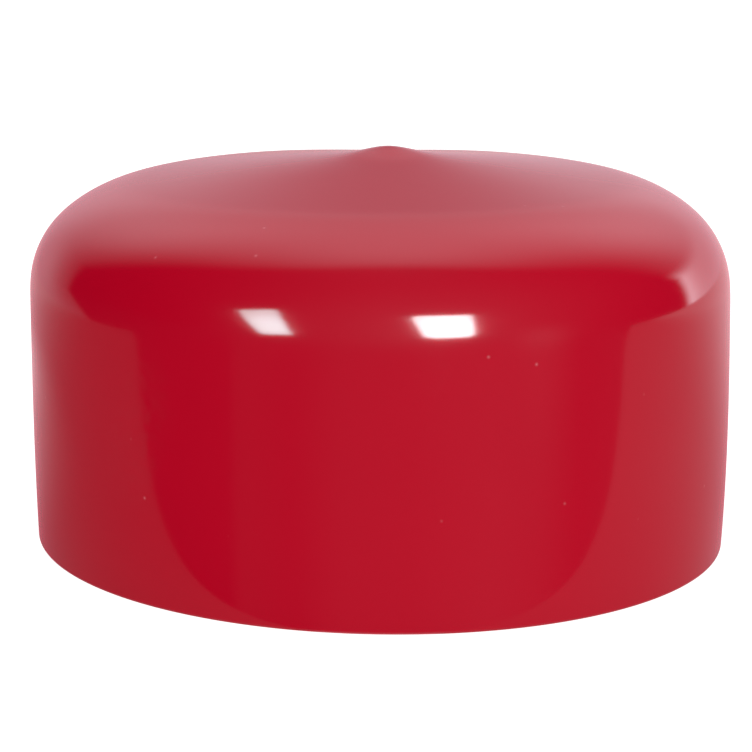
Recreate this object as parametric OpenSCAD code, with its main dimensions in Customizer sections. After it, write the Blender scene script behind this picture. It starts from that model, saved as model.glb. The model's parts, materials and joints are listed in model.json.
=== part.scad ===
// Dip-moulded vinyl end cap for a pipe or flange end.
// One continuous skin of cured vinyl: the mouth is at the bottom, on Z = 0, and the closed end is on top.
// All sizes are in millimetres.

/* [Pipe end] */
// Inside diameter of the mouth, which is the outside diameter of the pipe
bore_d = 114.3; // [100:0.1:170]
// Length of the straight inside wall, from the mouth to the inside shoulder
grip_l = 43.8; // [20:0.1:120]

/* [Skin] */
// Thickness of the wall at the mouth
rim_t = 2; // [1.2:0.1:3]
// Thickness of the skin at the shoulder, where the dip leaves more vinyl
shoulder_t = 2.35; // [1.2:0.05:4]
// Thickness of the closed end at its middle, without the drip
crown_t = 3; // [2.4:0.1:4]

/* [Closed end] */
// Outside radius of the shoulder, where the wall turns over
shoulder_r = 15.7; // [10:0.1:20]
// Larger outside radius that carries the shoulder on into the crown
crown_r = 25.6; // [22:0.1:32]
// Angle up the shoulder at which the larger radius takes over
turn_angle = 51; // [40:1:60]
// Slope of the crown, which leads the wet vinyl to the middle
crown_slope = 4.5; // [3:0.1:7]

/* [Drip] */
// Height of the drip above the point of the crown's cone
drip_h = 2.2; // [1.4:0.1:3]
// Radius of the drip's round tip
drip_r = 12; // [8:0.5:14]
// Radius of the hollow fillet round the drip
drip_fillet_r = 16; // [12:0.5:24]

/* [Mouth edge] */
// Rounding of the trimmed edge, inside and outside
edge_r = 0.4; // [0.2:0.05:0.5]

/* [Hidden] */
$fn = 180;

// Overlap that lets neighbouring curves cross cleanly, where a bare touch would leave slivers.
lap = 0.0005;
lap_angle = 3;

bore_r = bore_d / 2;
mouth_r = bore_r + rim_t;
wall_top_r = bore_r + shoulder_t;

function heading(angle) = [cos(angle), sin(angle)];

// Centres of the shoulder arc and of the crown arc. The inside arcs share them, one skin further in.
shoulder_c = [wall_top_r - shoulder_r, grip_l];
crown_c = shoulder_c + (shoulder_r - crown_r - lap) * heading(turn_angle);

// Where the cone of the crown leaves its arc, and how high the point of that cone stands.
function cone_start(arc_r, slope) = crown_c + arc_r * heading(90 - slope);
function cone_top(arc_r, slope) =
    let (start = cone_start(arc_r, slope))
    start[1] + start[0] * tan(slope);

// The inside crown is a little flatter than the outside, so that the skin thickens towards the middle.
// Its slope is found by halving until the closed end has its full thickness there.
outside_top = cone_top(crown_r, crown_slope);
function halved(low, high, steps) =
    let (middle = (low + high) / 2)
    steps == 0 ? middle
    : cone_top(crown_r - shoulder_t, middle) < outside_top - crown_t ? halved(middle, high, steps - 1)
    : halved(low, middle, steps - 1);
inside_slope = halved(0, crown_slope, 30);

// The hollow fillet touches the drip's tip circle and the sloping crown.
tip_c = [0, outside_top + drip_h - drip_r];
fall = tan(crown_slope);
reach = drip_r + drip_fillet_r;
rise = outside_top + drip_fillet_r / cos(crown_slope) - tip_c[1];
fillet_x = (rise * fall + sqrt(pow(rise * fall, 2) - (1 + fall * fall) * (rise * rise - reach * reach)))
    / (1 + fall * fall);
fillet_c = [fillet_x, tip_c[1] + rise - fillet_x * fall];

// A disc cut down to the slice between two headings.
module slice(centre, radius, from, to) {
    far = 2 * radius;
    intersection() {
        translate(centre) circle(radius);
        polygon([centre, centre + far * heading(from), centre + far * heading(to)]);
    }
}

// Half outline of a plug: straight wall, shoulder arc, crown arc, and a cone to the axis.
module plug_outline(foot_r, top_r, inset, slope) {
    core = shoulder_c + shoulder_r / 2 * heading(turn_angle);
    start = cone_start(crown_r - inset - lap, slope);
    top = cone_top(crown_r - inset - lap, slope);
    polygon([[0, 0], [foot_r, 0], [foot_r, edge_r], [top_r, grip_l], core, start, [0, top]]);
    slice(shoulder_c, shoulder_r - inset, 0, turn_angle + lap_angle);
    slice(crown_c, crown_r - inset, turn_angle, 90 - slope + lap_angle);
}

// Half outline of the drip that hardens where the last wet vinyl runs off the form.
module drip_outline() {
    foot = fillet_c - drip_fillet_r * heading(90 - crown_slope);
    waist = tip_c + drip_r / reach * (fillet_c - tip_c);
    root = outside_top - crown_t / 2;
    difference() {
        translate([0, root]) square([foot[0], waist[1] - root]);
        translate(fillet_c) circle(drip_fillet_r + 2 * lap);
    }
    slice(tip_c, drip_r, atan2(waist[1] - tip_c[1], waist[0]) - lap_angle, 90);
}

// The corner that rounding takes off the mouth's edge; side is 1 outside and -1 inside.
module edge_waste(corner_r, side) {
    difference() {
        translate([side > 0 ? corner_r - edge_r : corner_r, 0]) square(edge_r);
        translate([corner_r - side * edge_r, edge_r]) circle(edge_r);
    }
}

module end_cap() {
    color("crimson")
    rotate_extrude()
    difference() {
        union() {
            plug_outline(mouth_r, wall_top_r, 0, crown_slope);
            drip_outline();
        }
        plug_outline(bore_r, bore_r, shoulder_t, inside_slope);
        edge_waste(mouth_r, 1);
        edge_waste(bore_r, -1);
    }
}

end_cap();
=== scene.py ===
# %% [markdown]
# # A dip-moulded vinyl end cap
#
# The object is a soft red cap that is pushed over the open end of a pipe. It is one skin of vinyl with no
# other pieces. It was made by dipping a hot metal form, mouth upwards, into liquid vinyl. The skin that
# stuck to the form was cured, and then peeled off. That history gives every feature that this lesson
# makes: a very glossy outside, a duller inside that touched the form, a thicker closed end, a small drip
# where the last vinyl ran together, and a mouth edge trimmed by a knife.
#
# The lesson starts by loading the measured frame that the cap was designed in, and keeps its box for the
# sizes that follow.

# %% Load the frame
import json
import math

import bmesh
import bpy
from mathutils import Matrix, Vector, noise


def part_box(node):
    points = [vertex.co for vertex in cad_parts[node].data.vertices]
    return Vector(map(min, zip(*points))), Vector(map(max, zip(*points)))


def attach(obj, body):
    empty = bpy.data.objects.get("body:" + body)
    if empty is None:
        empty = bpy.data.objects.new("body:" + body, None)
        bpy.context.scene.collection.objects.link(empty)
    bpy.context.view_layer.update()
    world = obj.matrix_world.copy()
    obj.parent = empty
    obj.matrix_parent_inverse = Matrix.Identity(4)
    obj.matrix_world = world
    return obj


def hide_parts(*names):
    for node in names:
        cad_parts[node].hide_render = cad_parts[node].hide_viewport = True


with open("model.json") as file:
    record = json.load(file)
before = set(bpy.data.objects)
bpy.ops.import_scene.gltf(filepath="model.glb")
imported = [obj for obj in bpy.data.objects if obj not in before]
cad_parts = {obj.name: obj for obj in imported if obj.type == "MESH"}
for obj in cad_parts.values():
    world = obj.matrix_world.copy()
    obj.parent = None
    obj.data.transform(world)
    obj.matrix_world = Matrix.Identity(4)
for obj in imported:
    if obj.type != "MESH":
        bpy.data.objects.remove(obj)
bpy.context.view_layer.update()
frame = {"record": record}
cap_low, cap_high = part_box("end_cap")
print("box of the cap in mm:", [round(1000 * s, 2) for s in cap_high - cap_low])

# %% [markdown]
# # Sizes of the skin
#
# The cap is round, so one outline turned about the upright axis makes it. The bore comes from the record,
# where the pipe's size is kept, and the widest radius comes from the frame's box. The two shoulder radii
# repeat the design. The mouth is 0.15 mm wider in radius than the design's, its edge is a trace rounder,
# and the wall is 0.25 mm taller. The crown is steeper and so a little fuller. The skin thickens from the
# mouth to the closed end because the vinyl ran that way while it was still liquid.

# %% Name the sizes
MM = 0.001
socket = next(m for m in frame["record"]["mounts"] if m["name"] == "pipe_socket")
bore_radius = socket["dims"]["r_mm"] * MM
wall_top_radius = (cap_high.x - cap_low.x) / 2
mouth_skin = 2.15 * MM
mouth_radius = bore_radius + mouth_skin
grip_length = 44.05 * MM
shoulder_skin = wall_top_radius - bore_radius
crown_skin = 3 * MM
shoulder_radius = 15.7 * MM
crown_radius = 25.6 * MM
turn_angle = math.radians(51)
crown_slope = math.radians(6.7)
mouth_edge_radius = 0.45 * MM
print("bore, mouth and shoulder radius in mm:",
      [round(r / MM, 2) for r in (bore_radius, mouth_radius, wall_top_radius)])

# %% [markdown]
# # The outline of the outside
#
# The outline goes up the wall, round the shoulder in an arc, over the crown's edge in a second and
# flatter arc, and up a shallow cone to the drip. Each arc starts where the last one ends and in the same
# direction, so the gloss runs over the joints without a kink. Even a sudden change of curve would show as
# a break in the reflections, so the outline is eased later on.

# %% Draw arcs and lines
def arc(centre, radius, start, end, steps):
    """Points along an arc, without its start. Angles are in radians, up from the horizontal."""
    turns = [start + (end - start) * i / steps for i in range(1, steps + 1)]
    return [(centre[0] + radius * math.cos(t), centre[1] + radius * math.sin(t)) for t in turns]


def line(start, end, steps):
    """Points along a straight stretch, without its start."""
    shares = [i / steps for i in range(1, steps + 1)]
    return [(start[0] + (end[0] - start[0]) * s, start[1] + (end[1] - start[1]) * s) for s in shares]


quarter = math.pi / 2
shoulder_centre = (wall_top_radius - shoulder_radius, grip_length)
crown_centre = (
    shoulder_centre[0] + (shoulder_radius - crown_radius) * math.cos(turn_angle),
    shoulder_centre[1] + (shoulder_radius - crown_radius) * math.sin(turn_angle),
)
cone_start = arc(crown_centre, crown_radius, 0, quarter - crown_slope, steps=1)[0]
cone_top = cone_start[1] + cone_start[0] * math.tan(crown_slope)
print("height of the cone's sharp point in mm:", round(cone_top / MM, 2))

# %% [markdown]
# # The drip
#
# The form is lifted out with its closed end downwards, and the last of the vinyl runs to the middle of that
# end. It cures there as a low bump. A liquid bump has no edge, so it is a bell curve that fades into the
# cone. The point of the cone is rounded off under it. The bump ends a tenth of a millimetre above the top
# of the frame's box.

# %% Shape the crown
rise = math.tan(crown_slope)
point_rounding = 4 * MM
drip_spread = 5.3 * MM
drip_lift = 0.1 * MM
apex = cone_start[1] + rise * (math.hypot(cone_start[0], point_rounding) - point_rounding)
drip_height = cap_high.z - apex + drip_lift


def crown_height(radius):
    """Height of the cone and the drip at a distance from the axis."""
    below_apex = rise * (math.hypot(radius, point_rounding) - point_rounding)
    return apex - below_apex + drip_height * math.exp(-(radius / drip_spread) ** 2)


print("height of the drip in mm:", round(drip_height / MM, 2))

# %% [markdown]
# # The outline of the inside
#
# The inside copies the form, so it is a little simpler than the outside. Its arcs share their centres with
# the outer ones and are smaller by the thickness of the shoulder. The ceiling's slope is worked out, so
# that its middle is three millimetres below the sharp point of the cone. Rounding that point takes away
# about half a millimetre of the skin, and the drip adds about one.
#
# Last, the wall, the two arcs and the outer part of the cone are eased together, so that their curvature
# changes over a few millimetres where they meet.

# %% Join the whole outline
def relax(points, passes):
    """Eases an outline by moving each point towards the middle of its neighbours."""
    for _ in range(passes):
        trios = zip(points, points[1:], points[2:])
        eased = [((a[0] + 2 * b[0] + c[0]) / 4, (a[1] + 2 * b[1] + c[1]) / 4) for a, b, c in trios]
        points = [points[0]] + eased + [points[-1]]
    return points


inner_crown = crown_radius - shoulder_skin
ceiling_top = cone_top - crown_skin
drop = ceiling_top - crown_centre[1]
ceiling_tilt = math.atan2(crown_centre[0], drop)
ceiling_slope = math.acos(inner_crown / math.hypot(drop, crown_centre[0])) - ceiling_tilt
edge = mouth_edge_radius
cone_steps = 64
eased_cone_steps = 24
easing_passes = 14

rim = [(bore_radius + edge, 0)] + line((bore_radius + edge, 0), (mouth_radius - edge, 0), steps=3)
rim += arc((mouth_radius - edge, edge), edge, -quarter, 0, steps=10)
shell = line((mouth_radius, edge), (wall_top_radius, grip_length), steps=72)
shell += arc(shoulder_centre, shoulder_radius, 0, turn_angle, steps=23)
shell += arc(crown_centre, crown_radius, turn_angle, quarter - crown_slope, steps=26)
crown_radii = [cone_start[0] * (1 - i / cone_steps) for i in range(1, cone_steps + 1)]
crown = [(radius, crown_height(radius)) for radius in crown_radii]
outside = relax(shell + crown[:eased_cone_steps], easing_passes) + crown[eased_cone_steps:]

ceiling_end = arc(crown_centre, inner_crown, 0, quarter - ceiling_slope, steps=1)[0]
inside = line((0, ceiling_top), ceiling_end, steps=20)
inside += arc(crown_centre, inner_crown, quarter - ceiling_slope, turn_angle, steps=18)
inside += arc(shoulder_centre, shoulder_radius - shoulder_skin, turn_angle, 0, steps=18)
inside += line((bore_radius, grip_length), (bore_radius, edge), steps=16)
inside += arc((bore_radius + edge, edge), edge, math.pi, math.pi + quarter, steps=8)[:-1]
print("points on the outline:", len(rim) + len(outside) + len(inside))
print("skin in the middle, with the drip, in mm:", round((crown_height(0) - ceiling_top) / MM, 2))

# %% [markdown]
# # What dipping and standing do to a soft cap
#
# A perfect turned shape looks like machined metal. The real skin is soft. It leans a little on its mouth,
# the back of the crown sags by about two thirds of a millimetre, and the drip is not quite in the middle.
# The wall bellies out by a quarter of a millimetre on the left and by about half a millimetre on the right.
# These are small smooth moves of each point, so they bend the reflections as the real skin does. Most of
# them set in over a part of the height, which is given as a share of the whole.
#
# The belly has to end above the wall without a crease. A share times the square of what is left of it does
# that. It rises from zero at the mouth, peaks a third of the way up at 4/27, and flattens out to zero.

# %% Bend the skin
lean_x = -0.0156
lean_y = 0.0113
drip_offset = 1.4 * MM
offset_fade = (5 * MM, 22 * MM)
offset_zone = (0.9, 0.95)
sag_depth = 0.68 * MM
sag_place = Vector((0, 31 * MM))
sag_reach = Vector((14 * MM, 17 * MM))
sag_zone = (0.6, 0.9)
belly = 0.4 * MM
belly_right = 0.15 * MM
belly_top = 62 * MM
belly_scale = 27 / 4
waviness = 0.05 * MM
wave_length = 34 * MM
wave_zone = (0.02, 0.3)


def smooth(value, low, high):
    """Zero below low, one above high, and a soft step between them."""
    share = min(1, max(0, (value - low) / (high - low)))
    return share * share * (3 - 2 * share)


def bend(point, is_outside):
    """Moves one point of the turned shape to where the soft skin holds it."""
    x, y, z = point
    radius = math.hypot(x, y)
    up = z / cap_high.z
    if is_outside:
        x += drip_offset * (1 - smooth(radius, *offset_fade)) * smooth(up, *offset_zone)
        across = (x - sag_place.x) / sag_reach.x
        along = (y - sag_place.y) / sag_reach.y
        z -= sag_depth * math.exp(-across * across - along * along) * smooth(up, *sag_zone)
    share = min(1, z / belly_top)
    turn = x / radius if radius > 0 else 0
    swell = (belly + belly_right * turn) * belly_scale * share * (1 - share) ** 2
    swell += waviness * noise.noise(Vector((x, y, z)) / wave_length) * smooth(up, *wave_zone)
    if radius > 0:
        x += swell * x / radius
        y += swell * y / radius
    moved = Vector((x + lean_x * z, y + lean_y * z, z))
    moved.z -= (lean_x * x + lean_y * y) * up
    return moved


print("lean at the top in mm:", round(lean_x * cap_high.z / MM, 2), round(lean_y * cap_high.z / MM, 2))

# %% [markdown]
# # Turn the outline into a closed skin
#
# The outline is turned about the axis in even steps. The outside and the inside meet the axis, so each
# gets one shared point there and a ring of triangles round it. The rings are joined all the way round and
# from the inside back to the rim, which leaves a closed skin with a real thickness. It could be turned by a
# Screw modifier, but building the faces here lets each one be told which finish it takes.

# %% Build the mesh
segments = 288
FORM_SIDE, DIPPED, CUT = 0, 1, 2
on_axis = 1e-9
rows = [(p, DIPPED, True) for p in outside]
rows += [((0, ceiling_top), FORM_SIDE, False)]
rows += [(p, FORM_SIDE, False) for p in inside]
rows += [(p, CUT, True) for p in rim]


def ring_of(mesh, outline_point, is_outside):
    """One ring of points, or a single point on the axis."""
    radius, height = outline_point
    if radius < on_axis:
        return [mesh.verts.new(bend((0, 0, height), is_outside))] * segments
    turns = [2 * math.pi * i / segments for i in range(segments)]
    around = [(radius * math.cos(t), radius * math.sin(t), height) for t in turns]
    return [mesh.verts.new(bend(p, is_outside)) for p in around]


def join_rings(mesh, lower, upper, finish):
    """Faces between two rings. A ring on the axis gives triangles."""
    for i in range(segments):
        j = (i + 1) % segments
        corners = [lower[i], lower[j], upper[j], upper[i]]
        unique = [c for k, c in enumerate(corners) if c not in corners[:k]]
        face = mesh.faces.new(unique)
        face.material_index = finish
        face.smooth = True


def turn_outline(name):
    """The whole skin as one object."""
    build = bmesh.new()
    rings = [ring_of(build, point, is_outside) for point, _, is_outside in rows]
    for index, ring in enumerate(rings):
        after = (index + 1) % len(rings)
        if len(set(ring)) == 1 and len(set(rings[after])) == 1:
            continue
        join_rings(build, ring, rings[after], rows[after][1])
    bmesh.ops.recalc_face_normals(build, faces=build.faces)
    shape = bpy.data.meshes.new(name)
    build.to_mesh(shape)
    build.free()
    thing = bpy.data.objects.new(name, shape)
    bpy.context.scene.collection.objects.link(thing)
    return thing


cap = turn_outline("dipped_cap")
print("points and faces in the cap:", len(cap.data.vertices), len(cap.data.polygons))

# %% [markdown]
# # Small tools for finishes
#
# Every finish below is a net of nodes. A few short helpers keep the nets readable. They add a node and
# join its inputs, do one step of arithmetic, step or mix between two values, and start a group. A Mix node
# keeps its numbers in sockets 2 and 3 and its colours in sockets 6 and 7.

# %% Node helpers
def put(tree, kind, inputs=None, **options):
    """Adds a node. An input is a number, a colour or another node's output."""
    made = tree.nodes.new(kind)
    for name, value in options.items():
        setattr(made, name, value)
    for name, value in (inputs or {}).items():
        if isinstance(value, bpy.types.NodeSocket):
            tree.links.new(value, made.inputs[name])
        else:
            made.inputs[name].default_value = value
    return made


def calc(tree, operation, *values):
    """One step of arithmetic on numbers or outputs."""
    return put(tree, "ShaderNodeMath", dict(enumerate(values)), operation=operation).outputs[0]


def soft_step(tree, value, low, high, start=0.0, end=1.0):
    """Goes smoothly from start to end as value goes from low to high."""
    limits = {"Value": value, "From Min": low, "From Max": high, "To Min": start, "To Max": end}
    return put(tree, "ShaderNodeMapRange", limits, interpolation_type="SMOOTHSTEP").outputs["Result"]


def mix_numbers(tree, share, start, end):
    """Goes from one number to another as share goes from 0 to 1."""
    return put(tree, "ShaderNodeMix", {"Factor": share, 2: start, 3: end}).outputs[0]


def mix_colours(tree, share, start, end):
    """Goes from one colour to another as share goes from 0 to 1."""
    return put(tree, "ShaderNodeMix", {"Factor": share, 6: start, 7: end}, data_type="RGBA").outputs[2]


def new_group(name, inputs, outputs):
    """An empty node group with named sockets. Returns the group, its input node and its output node."""
    group = bpy.data.node_groups.new(name, "ShaderNodeTree")
    for label, kind, value in inputs:
        socket = group.interface.new_socket(label, in_out="INPUT", socket_type=kind)
        socket.default_value = value
    for label, kind in outputs:
        group.interface.new_socket(label, in_out="OUTPUT", socket_type=kind)
    return group, group.nodes.new("NodeGroupInput"), group.nodes.new("NodeGroupOutput")


NUMBER = "NodeSocketFloat"
COLOUR = "NodeSocketColor"

# %% [markdown]
# # Relief left by the liquid skin
#
# Liquid vinyl levels itself, but not completely. It keeps long shallow waves a few centimetres apart, a
# finer orange peel, and a faint grain from the filler in the vinyl. The finishes take these in different
# strengths, so they are one group that puts out a height. They are far too shallow to model as
# points, and a Bump node turns the height into a change of gloss direction.

# %% The relief group
relief, relief_in, relief_out = new_group(
    "liquid_relief",
    [("Waves", NUMBER, 1.0), ("Peel", NUMBER, 1.0), ("Grain", NUMBER, 1.0)],
    [("Height", NUMBER)],
)
relief_place = put(relief, "ShaderNodeTexCoord").outputs["Object"]


def ripples(size, detail):
    """A noise from -1 to 1 whose bumps are about size metres across."""
    inputs = {"Vector": relief_place, "Scale": 1 / size, "Detail": detail, "Roughness": 0.5}
    value = put(relief, "ShaderNodeTexNoise", inputs).outputs["Fac"]
    return calc(relief, "MULTIPLY_ADD", value, 2.0, -1.0)


waves = calc(relief, "MULTIPLY", ripples(26 * MM, 1.0), relief_in.outputs["Waves"])
peel = calc(relief, "MULTIPLY", ripples(3.2 * MM, 1.0), relief_in.outputs["Peel"])
grain = calc(relief, "MULTIPLY", ripples(0.45 * MM, 2.0), relief_in.outputs["Grain"])
relief_sum = calc(relief, "ADD", calc(relief, "ADD", waves, peel), grain)
relief.links.new(relief_sum, relief_out.inputs["Height"])
print("relief group:", len(relief.nodes), "nodes")

# %% [markdown]
# # Specks and scuffs
#
# A glossy vinyl cap always carries a few pinholes and bits of dust, and a thumb leaves a dull patch here
# and there. The specks come from cells that fill space with one point in each. A cell shows a speck if it
# is in the chosen share and its point lies within the speck's size of the surface, so only a few do. The
# scuffs are the peaks of a slow noise broken up by a fast one.

# %% The marks group
marks, marks_in, marks_out = new_group(
    "handling_marks",
    [("Cell", NUMBER, 0.0065), ("Size", NUMBER, 0.00045), ("Share", NUMBER, 0.2), ("Scuffs", NUMBER, 1.0)],
    [("Speck", NUMBER), ("Scuff", NUMBER)],
)
marks_place = put(marks, "ShaderNodeTexCoord").outputs["Object"]
cell_scale = calc(marks, "DIVIDE", 1.0, marks_in.outputs["Cell"])
cells = put(marks, "ShaderNodeTexVoronoi", {"Vector": marks_place, "Scale": cell_scale, "Randomness": 1.0})
speck_distance = calc(marks, "MULTIPLY", cells.outputs["Distance"], marks_in.outputs["Cell"])
speck_spot = soft_step(marks, speck_distance, low=marks_in.outputs["Size"], high=0.0)
cell_number = put(marks, "ShaderNodeSeparateColor", {"Color": cells.outputs["Color"]}).outputs["Red"]
chosen = calc(marks, "LESS_THAN", cell_number, marks_in.outputs["Share"])
marks.links.new(calc(marks, "MULTIPLY", speck_spot, chosen), marks_out.inputs["Speck"])
patch = put(marks, "ShaderNodeTexNoise", {"Vector": marks_place, "Scale": 38.0, "Detail": 1.0})
breakup = put(marks, "ShaderNodeTexNoise", {"Vector": marks_place, "Scale": 900.0, "Detail": 2.0})
patch_mask = soft_step(marks, patch.outputs["Fac"], low=0.63, high=0.78)
breakup_mask = soft_step(marks, breakup.outputs["Fac"], low=0.35, high=0.7)
scuff = calc(marks, "MULTIPLY", patch_mask, breakup_mask)
marks.links.new(calc(marks, "MULTIPLY", scuff, marks_in.outputs["Scuffs"]), marks_out.inputs["Scuff"])
print("marks group:", len(marks.nodes), "nodes")

# %% [markdown]
# # Colour of the vinyl
#
# The red pigment is stirred into the liquid, so the colour is almost even and only slightly cloudy. A group
# makes one red a little lighter and darker by a soft noise. The specks are mixed in last because they lie
# on top.

# %% The colour group
vinyl_red = (0.4, 0.0001, 0.0125, 1)
dust_red = (0.5, 0.06, 0.08, 1)
pigment, pigment_in, pigment_out = new_group(
    "stirred_pigment",
    [("Vinyl", COLOUR, vinyl_red), ("Cloudy", NUMBER, 0.05),
     ("Dust", COLOUR, dust_red), ("Speck", NUMBER, 0.0)],
    [("Color", COLOUR)],
)
pigment_place = put(pigment, "ShaderNodeTexCoord").outputs["Object"]
cloud = put(pigment, "ShaderNodeTexNoise", {"Vector": pigment_place, "Scale": 45.0, "Detail": 3.0})
cloud_swing = calc(pigment, "MULTIPLY_ADD", cloud.outputs["Fac"], 2.0, -1.0)
cloud_light = calc(pigment, "MULTIPLY_ADD", cloud_swing, pigment_in.outputs["Cloudy"], 1.0)
clouded = put(pigment, "ShaderNodeVectorMath",
              {0: pigment_in.outputs["Vinyl"], "Scale": cloud_light}, operation="SCALE").outputs[0]
speckled = mix_colours(pigment, pigment_in.outputs["Speck"], clouded, pigment_in.outputs["Dust"])
pigment.links.new(speckled, pigment_out.inputs["Color"])
print("pigment group:", len(pigment.nodes), "nodes")

# %% [markdown]
# # The three finishes
#
# All three are the same red vinyl. The dipped outside is as the liquid left it, wet-looking and smooth. The
# form side copies a blasted metal form, so it is satin and shows its grain. The cut edge is duller than the
# outside, with a fine tooth from the knife. One function makes each from its own strengths.

# %% Make the finishes
def vinyl_finish(name, gloss, gloss_change, waves, peel, grain, speck_share, scuffs, cloudy):
    """A vinyl material. gloss is its roughness, and the heights of the relief are in metres."""
    made = bpy.data.materials.new(name)
    made.use_nodes = True
    tree = made.node_tree
    shader = tree.nodes["Principled BSDF"]
    shader.inputs["IOR"].default_value = 1.5
    shader.inputs["Sheen Weight"].default_value = 0.5
    shader.inputs["Sheen Roughness"].default_value = 0.3
    shader.inputs["Sheen Tint"].default_value = (0.9, 0.03, 0.12, 1)
    marked = put(tree, "ShaderNodeGroup", node_tree=marks)
    marked.inputs["Share"].default_value = speck_share
    marked.inputs["Scuffs"].default_value = scuffs
    coloured = put(tree, "ShaderNodeGroup", node_tree=pigment)
    coloured.inputs["Cloudy"].default_value = cloudy
    tree.links.new(marked.outputs["Speck"], coloured.inputs["Speck"])
    tree.links.new(coloured.outputs["Color"], shader.inputs["Base Color"])
    dulled = calc(tree, "MAXIMUM", marked.outputs["Speck"], marked.outputs["Scuff"])
    roughness = calc(tree, "MULTIPLY_ADD", dulled, gloss_change, gloss)
    tree.links.new(roughness, shader.inputs["Roughness"])
    raised = put(tree, "ShaderNodeGroup", node_tree=relief)
    for label, value in (("Waves", waves), ("Peel", peel), ("Grain", grain)):
        raised.inputs[label].default_value = value
    bump_inputs = {"Height": raised.outputs["Height"], "Distance": 1.0, "Strength": 1.0}
    bump = put(tree, "ShaderNodeBump", bump_inputs)
    tree.links.new(bump.outputs["Normal"], shader.inputs["Normal"])
    return made


dipped = vinyl_finish(
    "dipped_gloss_vinyl", gloss=0.1, gloss_change=0.25,
    waves=0.02 * MM, peel=0.0012 * MM, grain=0.0002 * MM,
    speck_share=0.6, scuffs=0.3, cloudy=0.02,
)
form_side = vinyl_finish(
    "form_side_satin", gloss=0.42, gloss_change=0.1,
    waves=0.02 * MM, peel=0.004 * MM, grain=0.006 * MM,
    speck_share=0.05, scuffs=0.3, cloudy=0.05,
)
cut_edge = vinyl_finish(
    "knife_cut_vinyl", gloss=0.3, gloss_change=0.1,
    waves=0.0, peel=0.004 * MM, grain=0.004 * MM,
    speck_share=0.0, scuffs=0.2, cloudy=0.04,
)
for finish in (form_side, dipped, cut_edge):
    cap.data.materials.append(finish)
print("finishes:", [m.name for m in cap.data.materials])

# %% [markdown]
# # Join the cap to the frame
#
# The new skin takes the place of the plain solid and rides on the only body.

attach(cap, "root")
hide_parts("end_cap")

# %% [markdown]
# # The floor
#
# The cap stands on a white light table, so the floor glows as well as being lit. It has a trace of tooth.
# It is clear from below, so that the mouth of the cap can be looked at too.

# %% Lay the floor
def flat_card(name, corners, finish):
    """A flat card through its corners."""
    shape = bpy.data.meshes.new(name)
    shape.from_pydata([tuple(c) for c in corners], [], [tuple(range(len(corners)))])
    shape.materials.append(finish)
    card = bpy.data.objects.new(name, shape)
    bpy.context.scene.collection.objects.link(card)
    return card


table = bpy.data.materials.new("light_table")
table.use_nodes = True
table_tree = table.node_tree
table_shader = table_tree.nodes["Principled BSDF"]
table_shader.inputs["Roughness"].default_value = 0.9
table_shader.inputs["Specular IOR Level"].default_value = 0.0
table_shader.inputs["Emission Color"].default_value = (1, 1, 1, 1)
table_shader.inputs["Emission Strength"].default_value = 0.93
table_place = put(table_tree, "ShaderNodeTexCoord").outputs["Object"]
tooth = put(table_tree, "ShaderNodeTexNoise", {"Vector": table_place, "Scale": 300.0, "Detail": 3.0})
dark_tooth = (0.32, 0.32, 0.32, 1)
light_tooth = (0.36, 0.36, 0.36, 1)
table_tint = mix_colours(table_tree, tooth.outputs["Fac"], dark_tooth, light_tooth)
table_tree.links.new(table_tint, table_shader.inputs["Base Color"])
see_through = put(table_tree, "ShaderNodeBsdfTransparent").outputs[0]
underside = put(table_tree, "ShaderNodeNewGeometry").outputs["Backfacing"]
table_sides = {0: underside, 1: table_shader.outputs[0], 2: see_through}
table_mix = put(table_tree, "ShaderNodeMixShader", table_sides)
table_tree.links.new(table_mix.outputs[0], table_tree.nodes["Material Output"].inputs["Surface"])

floor_half = 6.0
floor_corners = [(-floor_half, -floor_half, 0), (floor_half, -floor_half, 0),
                 (floor_half, floor_half, 0), (-floor_half, floor_half, 0)]
floor = flat_card("floor", floor_corners, table)
floor.visible_glossy = False
print("floor is", 2 * floor_half, "m wide")

# %% [markdown]
# # What the gloss sees
#
# A glossy object is a mirror first. The cap stands at the front edge of a white tent, with a dark room and
# two softboxes in front of it. The tent gives the pale bands over the crown and down both sides, and the
# room gives the deep red middle. Only mirror-like rays see this set. An even light does the rest, so the
# two can be set one at a time. The world shader paints the tent, the room and the even light by direction,
# and cards make the softboxes.

# %% Directions and glows
def heading(azimuth, height):
    """A unit vector. Azimuth is in degrees from the camera's side towards the right."""
    a = math.radians(azimuth)
    h = math.radians(height)
    return Vector((math.sin(a) * math.cos(h), -math.cos(a) * math.cos(h), math.sin(h)))


world = bpy.data.worlds.new("studio")
world.use_nodes = True
bpy.context.scene.world = world
sky = world.node_tree
sky.nodes.clear()
ray = put(sky, "ShaderNodeTexCoord").outputs["Generated"]
direction = put(sky, "ShaderNodeVectorMath", {0: ray}, operation="NORMALIZE").outputs[0]
split = put(sky, "ShaderNodeSeparateXYZ", {0: direction}).outputs
along_x, along_y, along_z = split["X"], split["Y"], split["Z"]


def glow(azimuth, height, tightness, strength):
    """A round glow that fades away from one direction."""
    towards = {0: direction, 1: heading(azimuth, height)}
    match = put(sky, "ShaderNodeVectorMath", towards, operation="DOT_PRODUCT").outputs["Value"]
    power = calc(sky, "MULTIPLY_ADD", match, tightness, -tightness)
    return calc(sky, "MULTIPLY", calc(sky, "EXPONENT", power), strength)


def total(values):
    """The sum of several outputs."""
    result = values[0]
    for value in values[1:]:
        result = calc(sky, "ADD", result, value)
    return result


print("a heading to the right softbox:", [round(c, 2) for c in heading(20, 15)])

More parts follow.
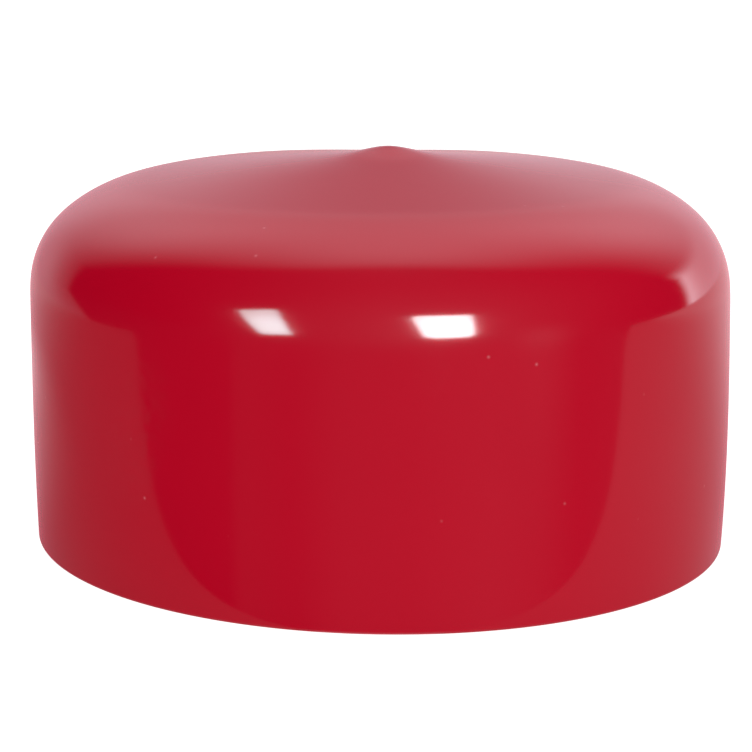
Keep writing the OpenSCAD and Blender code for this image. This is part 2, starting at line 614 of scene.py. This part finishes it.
# %% [markdown]
# # The edge of the tent
#
# The tent is the part of the surroundings behind an edge. On each side the edge is made of three flat
# cuts: one upright in the middle, one leaning forward overhead and one leaning forward near the table. The
# left edge sits a little further back than the right one, and in the middle the edge is set back a little
# more. The edge is blurred, and more so overhead.

# %% Cut the tent's edge
right_side = soft_step(sky, along_x, low=-0.25, high=0.25)


def cut(lean_back, setback):
    """How far a direction lies behind one flat cut of the tent's edge."""
    leaned = calc(sky, "MULTIPLY_ADD", along_z, lean_back, along_y)
    return calc(sky, "SUBTRACT", leaned, setback)


def tent_edge(upright, overhead, low):
    """How far a direction lies behind an edge made of three flat cuts."""
    upper = calc(sky, "MAXIMUM", cut(*upright), cut(*overhead))
    return calc(sky, "MAXIMUM", upper, cut(*low))


left_edge = tent_edge(upright=(0.0, 0.5), overhead=(0.96, 0.8), low=(-1.2, 0.445))
right_edge = tent_edge(upright=(0.0, 0.46), overhead=(0.78, 0.65), low=(-1.7, 0.53))
both_edges = mix_numbers(sky, right_side, left_edge, right_edge)
middle_tightness = 12.0
middle_setback = 0.06
off_middle = calc(sky, "MULTIPLY", along_x, along_x)
middle = calc(sky, "EXPONENT", calc(sky, "MULTIPLY", off_middle, -middle_tightness))
behind_edge = calc(sky, "MULTIPLY_ADD", middle, -middle_setback, both_edges)

left_blur = soft_step(sky, along_z, low=0.15, high=0.5, start=0.035, end=0.11)
right_blur = soft_step(sky, along_z, low=0.3, high=0.5, start=0.05, end=0.11)
edge_blur = mix_numbers(sky, right_side, left_blur, right_blur)
edge_start = calc(sky, "MULTIPLY", edge_blur, -1.0)
in_tent = soft_step(sky, behind_edge, edge_start, edge_blur)
print("nodes so far in the world:", len(sky.nodes))

# %% [markdown]
# # The light of the cloth
#
# The cloth gets darker higher up, and it glows where lamps stand behind it. A glow of less than nothing is
# a shadow. Beside the right edge the cloth is brightest, in a band that is as high as a window. It darkens
# along its hem.

# %% Light the cloth
least_light = 0.05
tent_base = calc(sky, "MULTIPLY_ADD", along_z, -0.89, 0.275)
tent_light = total([
    tent_base,
    glow(-142, 43, 13.5, 1.1),  # high at the back left
    glow(144, 40, 13, 1.1),  # high at the back right
    glow(170, 82, 5.7, 2.0),  # overhead
    glow(-165, 18, 24, 0.52),  # behind, a little left
    glow(172, 18, 50, 0.62),  # behind, a little right
    glow(178, 18, 62, -0.72),  # a shadow between those two
    glow(-137, 5, 38, 0.3),  # low at the back left
    glow(153, -2, 5, 0.4),  # low and wide at the back right
])
edge_fade = 10.0
edge_boost = 0.4
lit_strength = 4.0
near_edge = calc(sky, "EXPONENT", calc(sky, "MULTIPLY_ADD", behind_edge, -edge_fade, edge_boost))
window_foot = soft_step(sky, along_z, low=-0.2, high=0.0)
window_head = soft_step(sky, along_z, low=0.36, high=0.2)
side_window = calc(sky, "MULTIPLY", window_foot, window_head)
lit_side = calc(sky, "MULTIPLY", calc(sky, "MULTIPLY", near_edge, side_window), right_side)
tent_light = calc(sky, "MULTIPLY_ADD", lit_side, lit_strength, tent_light)
hem = soft_step(sky, behind_edge, low=-0.05, high=0.3, start=0.72, end=1.0)
tent_light = calc(sky, "MULTIPLY", tent_light, hem)
tent_light = calc(sky, "MAXIMUM", tent_light, least_light)
print("nodes so far in the world:", len(sky.nodes))

# %% [markdown]
# # The dark room
#
# Near its floor the room has upright bands of different greys, which the wall mirrors as faint stripes.
# Higher up there is one wide soft glow from the front, a little to the right. A small glow stands further to
# the right.

# %% Paint the room
room_azimuth = calc(sky, "ARCTAN2", along_x, calc(sky, "MULTIPLY", along_y, -1.0))
across_room = calc(sky, "MULTIPLY_ADD", room_azimuth, 1 / math.pi, 0.5)
bands = put(sky, "ShaderNodeValToRGB", {"Fac": across_room})
# The azimuth of each stop in degrees, and its grey.
band_stops = [(-75, 0.0), (-49, 0.0), (-45, 0.08), (-27, 0.05), (-12, 0.14),
              (10, 0.15), (36, 0.22), (52, 0.17), (66, 0.07), (85, 0.1)]
while len(bands.color_ramp.elements) < len(band_stops):
    bands.color_ramp.elements.new(0.5)
for stop, (place, light) in zip(bands.color_ramp.elements, band_stops):
    stop.position = (place + 90) / 180
    stop.color = (light, light, light, 1)
low_room = put(sky, "ShaderNodeSeparateColor", {0: bands.outputs["Color"]}).outputs["Red"]
high_room = glow(18, 22, 2.6, 0.3)
side_glow = glow(52, 0, 90, 0.3)
above_table = soft_step(sky, along_z, low=-0.16, high=0.04)
room_light = total([mix_numbers(sky, above_table, low_room, high_room), side_glow])

gloss_light = mix_numbers(sky, in_tent, room_light, tent_light)
gloss_colour = put(sky, "ShaderNodeCombineColor",
                   {0: calc(sky, "MULTIPLY", gloss_light, 0.95), 1: gloss_light,
                    2: calc(sky, "MULTIPLY", gloss_light, 1.08)}).outputs[0]
mirror_sky = put(sky, "ShaderNodeBackground", {"Color": gloss_colour, "Strength": 1.0}).outputs[0]
print("nodes so far in the world:", len(sky.nodes))

# %% [markdown]
# # The even light
#
# Every other ray sees a plain pale sky. It is strongest from the front, from high behind and from straight
# above, and weaker on the left than on the right. The mirror sky answers only the mirror-like rays.

# %% Mix the two skies
even_light = calc(sky, "MULTIPLY_ADD", along_y, -0.5, calc(sky, "MULTIPLY_ADD", along_x, 0.22, 0.23))
even_light = total([
    even_light,
    glow(24, 10, 2, 0.25),  # wide, from the front right
    glow(12, 0, 8, 1.95),  # from the front
    glow(180, 35, 3, 1.6),  # from high behind
    glow(0, 90, 18, 3.6),  # from straight above
    glow(-75, 0, 4, -0.4),  # a shadow at the left
    glow(75, 0, 4, -0.26),  # a shadow at the right
])
even_light = calc(sky, "MAXIMUM", even_light, least_light)
even_colour = put(sky, "ShaderNodeCombineColor", {0: even_light, 1: even_light, 2: even_light}).outputs[0]
even_sky = put(sky, "ShaderNodeBackground", {"Color": even_colour, "Strength": 1.0}).outputs[0]

by_gloss = put(sky, "ShaderNodeLightPath").outputs["Is Glossy Ray"]
studio = put(sky, "ShaderNodeMixShader", {0: by_gloss, 1: even_sky, 2: mirror_sky}).outputs[0]
put(sky, "ShaderNodeOutputWorld", {"Surface": studio})
print("world shader:", len(sky.nodes), "nodes")

# %% [markdown]
# # Cards for the sheet and the softboxes
#
# Seen from a little above, the cap's wall mirrors what lies low around it. Behind the cap's front that is
# the tent's white sheet, and in front of it the room's dark floor. The softboxes are bright cards out in
# front. Each card is seen only by mirror-like rays, which is what keeps them from lighting the floor. The
# corners of a softbox are azimuths and heights in degrees.

# %% Hang the cards
def glowing(name, light, red=0.95):
    """A light-giving finish. light is a function that adds nodes and returns the brightness."""
    made = bpy.data.materials.new(name)
    made.use_nodes = True
    tree = made.node_tree
    tree.nodes.clear()
    brightness = light(tree)
    tint = put(tree, "ShaderNodeCombineColor",
               {0: calc(tree, "MULTIPLY", brightness, red), 1: brightness,
                2: calc(tree, "MULTIPLY", brightness, 1.02)}).outputs[0]
    lamp = put(tree, "ShaderNodeEmission", {"Color": tint, "Strength": 1.0}).outputs[0]
    put(tree, "ShaderNodeOutputMaterial", {"Surface": lamp})
    return made


def mirror_only(card):
    """Lets only mirror-like rays see a card."""
    card.visible_camera = False
    card.visible_diffuse = False
    card.visible_transmission = False
    card.visible_shadow = False
    return card


card_distance = 1.6
shoulder_front = Vector((0, -50 * MM, 55 * MM))


def far_card(name, corners, light, red):
    """A card whose corners lie in given directions from the front of the shoulder."""
    places = [shoulder_front + card_distance * heading(azimuth, height) for azimuth, height in corners]
    return mirror_only(flat_card(name, places, glowing(name + "_light", light, red)))


def sheet_light(tree):
    """The white sheet is brighter on the right, at the back, and in a patch at the cap's back left."""
    place = put(tree, "ShaderNodeTexCoord").outputs["Object"]
    parts = put(tree, "ShaderNodeSeparateXYZ", {0: place}).outputs
    to_right = soft_step(tree, parts["X"], low=-0.1, high=0.15, start=0.17, end=0.38)
    to_back = soft_step(tree, parts["Y"], low=0.02, high=0.25, start=0.0, end=0.4)
    ends = {0: place, 1: (-0.075, 0.08, 0)}
    away = put(tree, "ShaderNodeVectorMath", ends, operation="DISTANCE").outputs["Value"]
    bright_patch = soft_step(tree, away, low=0.1, high=0.035, start=1.0, end=2.1)
    return calc(tree, "MULTIPLY", calc(tree, "ADD", to_right, to_back), bright_patch)


sheet_corners = [(-0.35, -0.077, 0), (0, -0.058, 0), (1.5, -0.138, 0), (1.5, 1.5, 0), (-0.35, 1.5, 0)]
sheet = mirror_only(flat_card("tent_sheet", sheet_corners, glowing("tent_sheet_light", sheet_light)))


def hot_spot(azimuth, height, centre_light, side_light):
    """A softbox is brightest where its bulb is, and fades to the sides."""
    spot = card_distance * heading(azimuth, height)

    def light(tree):
        place = put(tree, "ShaderNodeTexCoord").outputs["Object"]
        away = put(tree, "ShaderNodeVectorMath", {0: place, 1: spot}, operation="DISTANCE").outputs["Value"]
        return soft_step(tree, away, low=0.05, high=0.55, start=centre_light, end=side_light)

    return light


left_corners = [(-37.8, 3), (-27.5, 4.5), (-36.3, 29.3), (-48.5, 23.8)]
right_corners = [(13.8, 5.5), (17, 4), (28, 4), (30, 6), (31, 26), (14, 27.5), (11, 27), (10.5, 24)]
far_card("left_softbox", left_corners, hot_spot(-32, 14, centre_light=21.0, side_light=11.0), red=0.6)
far_card("right_softbox", right_corners, hot_spot(22, 14, centre_light=34.0, side_light=22.0), red=0.9)

# %% [markdown]
# # The camera
#
# The camera stands in front and a little above, so the mouth's edge is a flat ellipse and the far shoulder is
# hidden behind the crown. The camera is level apart from about one degree of roll. It aims at the axis at
# two fifths of the cap's height, and its shift is only what centres the cap.

# %% Place the camera
camera_height_angle = math.radians(12.93)
camera_roll = math.radians(0.905)
camera_distance = 0.4436
aim = Vector((0, 0, 26.6 * MM))
lens = bpy.data.cameras.new("camera")
lens.sensor_width = 36
lens.lens = 122.7
lens.shift_x = -0.0086
lens.shift_y = 0.0039
lens.clip_start = 0.01
lens.clip_end = 50
camera = bpy.data.objects.new("camera", lens)
bpy.context.scene.collection.objects.link(camera)
toward_camera = Vector((0, -math.cos(camera_height_angle), math.sin(camera_height_angle)))
tilt = Matrix.Rotation(quarter - camera_height_angle, 4, "X")
roll = Matrix.Rotation(camera_roll, 4, "Z")
camera.matrix_world = Matrix.Translation(aim + camera_distance * toward_camera) @ tilt @ roll
bpy.context.scene.camera = camera
bpy.context.scene.view_settings.view_transform = "Standard"
print("camera at mm:", [round(c / MM, 1) for c in camera.location])
